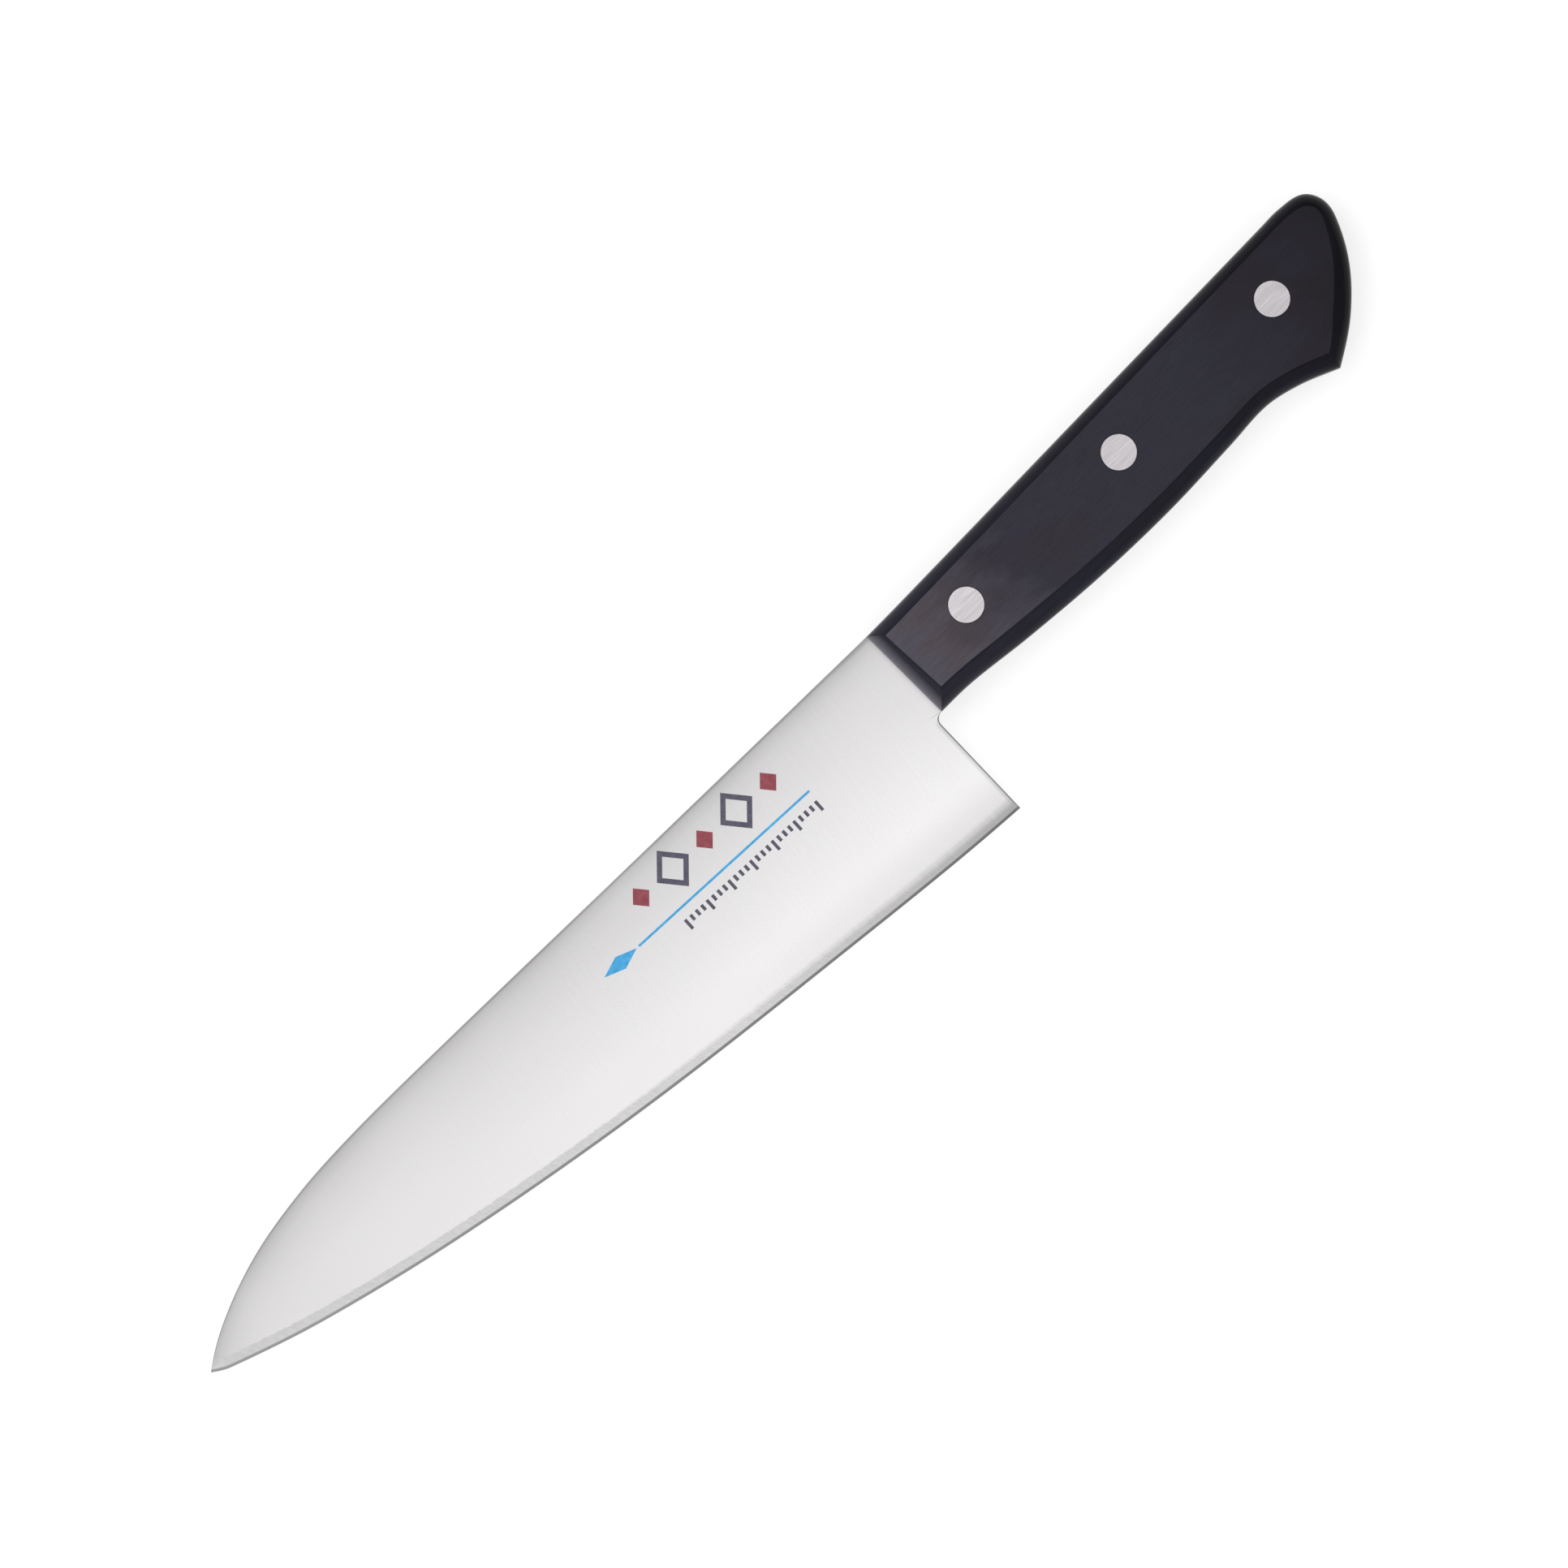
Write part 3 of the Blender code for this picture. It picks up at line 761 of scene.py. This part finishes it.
def steel_sides():
    """Satin steel with grind lines from spine to edge, a finer band along the cutting edge, and painted
    shade.
    """
    look = Look("satin_steel", Metallic=1.0)
    along = look.along()
    from_edge_line = look.attribute("from_edge")
    near_heel = ORIGIN.x - HEEL_SHADE * MM

    # grind lines, fainter toward the tip
    lines = look.noise(look.stretched(GRIND_LINES, GRIND_TURN), detail=3, roughness=0.6)
    strokes = look.noise(look.stretched(GRIND_STROKES, GRIND_TURN), detail=2)
    clouds = look.noise(look.stretched(GRIND_CLOUDS), detail=2)
    clarity = look.spread(along, BLADE_LOW.x, ORIGIN.x - CLEAR_LINES * MM, 0.25, 1, smooth=True)
    grain = look.maths("SUBTRACT", look.mixture(lines, strokes, 0.85), 0.5)
    grain = look.maths("MULTIPLY", grain, clarity)

    # the sides, with shade painted in: darker toward the spine, the edge and the heel, and paler toward the
    # handle
    across = look.spread(look.attribute("from_spine"), 0, SPINE_FADE, 0, 1)
    # painted shade: the sides darken toward the cutting edge, most near the heel
    edge_shade = look.spread(along, near_heel, ORIGIN.x, 0.96, 0.74)
    shade = look.spread(grain, -0.18, 0.18, 0.974, 1.018)
    # painted light: the sides are paler toward the handle and darker toward the tip
    for part in (look.spread(along, BLADE_LOW.x, ORIGIN.x, 0.93, 1.05),
                 look.spread(from_edge_line, BAND_WIDTH, EDGE_FADE, edge_shade, 1, smooth=True),
                 look.spread(look.attribute("from_heel"), 0, HEEL_FADE, 0.55, 1)):
        shade = look.maths("MULTIPLY", shade, part)
    base = look.shaded(look.ramp(across, greys(SPINE_GREYS)), shade)
    base = look.blend(look.spread(clouds, 0.35, 0.65, 0, 0.35), base, grey(CLOUD_GREY))

    # the fine band, whose top blurs toward the heel and which is painted darker there as shade, and the bevel
    # below it, painted as a dark line of shade
    softness = look.spread(along, ORIGIN.x - BAND_BLUR * MM, ORIGIN.x, 0.12, 1.3)
    waver = look.spread(look.noise(look.stretched(BAND_WAVER), detail=3), 0.3, 0.7, -0.12, 0.12)
    distance = look.maths("ADD", from_edge_line, waver)
    start = look.maths("SUBTRACT", BAND_WIDTH, softness)
    stop = look.maths("ADD", BAND_WIDTH, softness)
    above_band = look.spread(distance, start, stop, 0, 1, smooth=True)
    marks = look.noise(look.stretched(BAND_MARKS, POLISH_TURN), detail=2)
    band = look.ramp(marks, greys(BAND_GREYS))
    band = look.blend(look.spread(along, near_heel, ORIGIN.x, 0, 0.85), band, grey(HEEL_BAND_GREY))
    base = look.blend(above_band, band, base)
    above_bevel = look.spread(from_edge_line, BEVEL_WIDTH - 0.05, BEVEL_WIDTH + 0.1, 0, 1)
    base = look.blend(above_bevel, grey(BEVEL_GREY), base)

    rough = look.spread(grain, -0.2, 0.2, 0.26, 0.30)
    rough = look.maths("MULTIPLY", rough, look.spread(above_band, 0, 1, 0.8, 1))
    return look.drive(Base_Color=base, Roughness=rough, Normal=look.bumped(grain, 0.0005))


def steel_rim():
    """Spine, heel, choil and the tang's edges, ground along their length, with shade painted darker at the
    heel.
    """
    look = Look("ground_steel_rim", Metallic=1.0)
    lines = look.noise(look.stretched(RIM_LINES), detail=3, roughness=0.6)
    scuffs = look.noise(look.stretched(RIM_SCUFFS), detail=2)
    # painted shade at the heel
    at_heel = look.spread(look.attribute("from_heel"), 0, 1, 1, 0)
    base = look.blend(at_heel, look.ramp(lines, greys(RIM_GREYS)), grey(HEEL_RIM_GREY))
    rough = look.spread(scuffs, 0.3, 0.7, 0.3, 0.45)
    return look.drive(Base_Color=base, Roughness=rough, Normal=look.bumped(lines, 0.004))


def composite(name, specular, roughness, palette, front_highlight=0):
    """Dark resin composite with fine lengthwise grain and a faint brown and violet mottle. The palette gives
    its colours from front to butt. A painted highlight may pale what faces forward, most at the very front."""
    look = Look(name, Specular_IOR_Level=specular)
    grain = look.noise(look.stretched(COMPOSITE_GRAIN), detail=3, roughness=0.6)
    fibres = look.noise(look.stretched(COMPOSITE_FIBRES), detail=2)
    mottle = look.noise(look.stretched(COMPOSITE_MOTTLE, MOTTLE_TURN), detail=3, roughness=0.55)
    along = look.along()

    share = look.spread(along, SCALE_LOW.x, SCALE_HIGH.x, 0, 1)
    share = look.maths("ADD", share, look.spread(mottle, 0.3, 0.7, -0.05, 0.05))
    # painted highlight: forward-facing surfaces at the very front are paled
    normal = look.add("ShaderNodeNewGeometry").outputs["Normal"]
    facing = look.add("ShaderNodeSeparateXYZ", [normal]).outputs[0]
    highlight_share = look.spread(along, SCALE_LOW.x, SCALE_LOW.x + PAINTED_HIGHLIGHT_REACH * MM, 1, 0)
    highlight_share = look.maths("MULTIPLY", highlight_share, look.spread(facing, -0.6, -0.4, front_highlight, 0))
    base = look.blend(highlight_share, look.ramp(share, palette), PAINTED_HIGHLIGHT)

    tint = look.ramp(look.spread(mottle, 0.4, 0.6, 0, 1, smooth=True), MOTTLE_TINTS)
    base = look.blend(1.0, base, tint, "MULTIPLY")
    streak = look.mixture(grain, fibres, 0.5)
    base = look.shaded(base, look.spread(streak, 0.32, 0.68, 0.82, 1.18))
    rough = look.spread(streak, 0.3, 0.7, *roughness)
    return look.drive(Base_Color=base, Roughness=rough, Normal=look.bumped(streak, 0.005))


def rivet_metal():
    """Pale steel with scratches along the handle, a little tarnished, and painted darker toward the butt as
    shade.
    """
    look = Look("scratched_rivet_metal", Metallic=1.0)
    fine = look.noise(look.stretched(FINE_SCRATCHES, SCRATCH_TURN), detail=3, roughness=0.65)
    broad = look.noise(look.stretched(BROAD_SCRATCHES, SCRATCH_TURN), detail=2)
    scratches = look.mixture(fine, broad, 0.4)
    tarnish = look.noise(look.stretched(TARNISH_PATCHES), detail=3)
    base = look.ramp(scratches, SCRATCH_COLOURS)
    base = look.blend(look.spread(tarnish, 0.4, 0.7, 0, 0.3), base, TARNISH)
    # painted shade, darker toward the butt
    base = look.shaded(base, look.spread(look.along(), SCALE_LOW.x, SCALE_HIGH.x, 1, BUTT_RIVET_PAINTED_SHADE))
    rough = look.spread(scratches, 0.36, 0.64, 0.27, 0.4)
    return look.drive(Base_Color=base, Roughness=rough, Normal=look.bumped(scratches, 0.003))


def ink(name, colour):
    """Screen-printed ink, a little uneven."""
    look = Look(name, Specular_IOR_Level=0.4)
    patches = look.noise(look.stretched(INK_PATCHES), detail=3)
    thin = tuple(min(1, value * 1.35 + 0.02) for value in colour)
    base = look.ramp(patches, [(0.35, colour), (0.75, thin)])
    return look.drive(Base_Color=base, Roughness=look.spread(patches, 0.3, 0.7, 0.4, 0.55))


# ------------------------------------------------------------------------------------------------------ stage

def floor():
    """A pale round floor that curves up into a low wall far behind the knife."""
    shape = bmesh.new()
    profile = [(FLOOR_RADIUS / 4, 0)]
    for bend in np.linspace(0, math.pi / 2, FLOOR_STEPS + 1):
        profile.append((FLOOR_RADIUS + WALL_HEIGHT * math.sin(bend), WALL_HEIGHT * (1 - math.cos(bend))))
    turns = np.linspace(0, 2 * math.pi, FLOOR_SIDES, endpoint=False)
    rings = [[shape.verts.new((radius * math.cos(turn), radius * math.sin(turn), height)) for turn in turns]
             for radius, height in profile]
    shape.faces.new(rings[0])
    for inner, outer in zip(rings, rings[1:]):
        for here in range(FLOOR_SIDES):
            beside = (here + 1) % FLOOR_SIDES
            shape.faces.new((inner[here], outer[here], outer[beside], inner[beside]))
    mesh = bpy.data.meshes.new("floor")
    shape.to_mesh(mesh)
    shape.free()
    mesh.shade_smooth()
    mesh.materials.append(floor_paint())
    made = bpy.data.objects.new("floor", mesh)
    bpy.context.scene.collection.objects.link(made)


def floor_paint():
    """Matt paint, very slightly uneven, that glows a little."""
    look = Look("matte_white_floor", Roughness=0.9, Specular_IOR_Level=0.1, Emission_Color=(1, 1, 1, 1),
                Emission_Strength=FLOOR_GLOW)
    patches = look.noise(look.stretched(FLOOR_PATCHES))
    base = look.ramp(patches, greys([(0.2, FLOOR_LEVEL - FLOOR_MOTTLE), (0.8, FLOOR_LEVEL)]))
    return look.drive(Base_Color=base)


def sky():
    """Soft light from overhead, brightest a little to the edge side and weaker toward the butt, over a dimmer
    ring of light all round."""
    world = bpy.data.worlds.new("studio")
    bpy.context.scene.world = world
    world.use_nodes = True
    tree = world.node_tree
    direction = tree.nodes.new("ShaderNodeTexCoord").outputs["Generated"]
    parts = tree.nodes.new("ShaderNodeSeparateXYZ")
    tree.links.new(direction, parts.inputs[0])

    def spread(part, low, high, to_low, to_high):
        made = tree.nodes.new("ShaderNodeMapRange")
        made.interpolation_type = "SMOOTHSTEP"
        for socket, number in zip(list(made.inputs)[1:5], (low, high, to_low, to_high)):
            socket.default_value = number
        tree.links.new(parts.outputs[part], made.inputs[0])
        return made.outputs[0]

    def joined(operation, first, second):
        made = tree.nodes.new("ShaderNodeMath")
        made.operation = operation
        tree.links.new(first, made.inputs[0])
        tree.links.new(second, made.inputs[1])
        return made.outputs[0]

    level = spread("Z", *SKY_UPWARD)
    for part, fade in (("X", SKY_ALONG), ("Y", SKY_ACROSS), ("Y", SKY_SIDE)):
        level = joined("MULTIPLY", level, spread(part, *fade))
    level = joined("ADD", level, spread("Z", *SKY_RING))
    background = tree.nodes["Background"]
    background.inputs["Color"].default_value = (1, 1, 1, 1)
    tree.links.new(level, background.inputs["Strength"])


def softbox(name, place, size, power):
    """A large square lamp that looks at the knife, and that shiny surfaces don't mirror."""
    lamp = bpy.data.lights.new(name, "AREA")
    lamp.size = size
    lamp.energy = power
    made = bpy.data.objects.new(name, lamp)
    bpy.context.scene.collection.objects.link(made)
    made.location = place
    made.rotation_euler = (-Vector(place)).to_track_quat("-Z", "Y").to_euler()
    made.visible_glossy = False


def camera():
    """Straight above, with the handle to the upper right."""
    lens = bpy.data.cameras.new("camera")
    lens.sensor_width = SENSOR
    lens.lens = SENSOR * CAMERA_HEIGHT / FRAME_WIDTH
    made = bpy.data.objects.new("camera", lens)
    bpy.context.scene.collection.objects.link(made)
    aim = ORIGIN + Vector(CAMERA_AIM) * MM
    made.location = (aim.x, aim.y, aim.z + CAMERA_HEIGHT)
    made.rotation_euler = (0, 0, CAMERA_ROLL)
    bpy.context.scene.camera = made


camera()
sky()
softbox("key", KEY_PLACE, KEY_SIZE, KEY_POWER)
floor()
bpy.context.scene.view_settings.view_transform = "Standard"

steel(steel_sides(), steel_rim())
finishes = [
    composite("sanded_composite", 0.18, (0.24, 0.34), SANDED),
    composite("polished_composite", 0.07, (0.14, 0.22), POLISHED, front_highlight=0.15),
    composite("crease_painted_shade", 0.07, (0.2, 0.3), CREASE_PAINTED_SHADE)]
for scale_name, scale_side in (("handle_scale_left", 1), ("handle_scale_right", -1)):
    handle_scale(scale_name, scale_side, finishes)
bright = rivet_metal()
for position, station in zip(POSITIONS, STATIONS):
    rivet(position, station, bright)
print_row(ink("slate_ink", SLATE), ink("red_ink", RED), ink("blue_ink", BLUE))
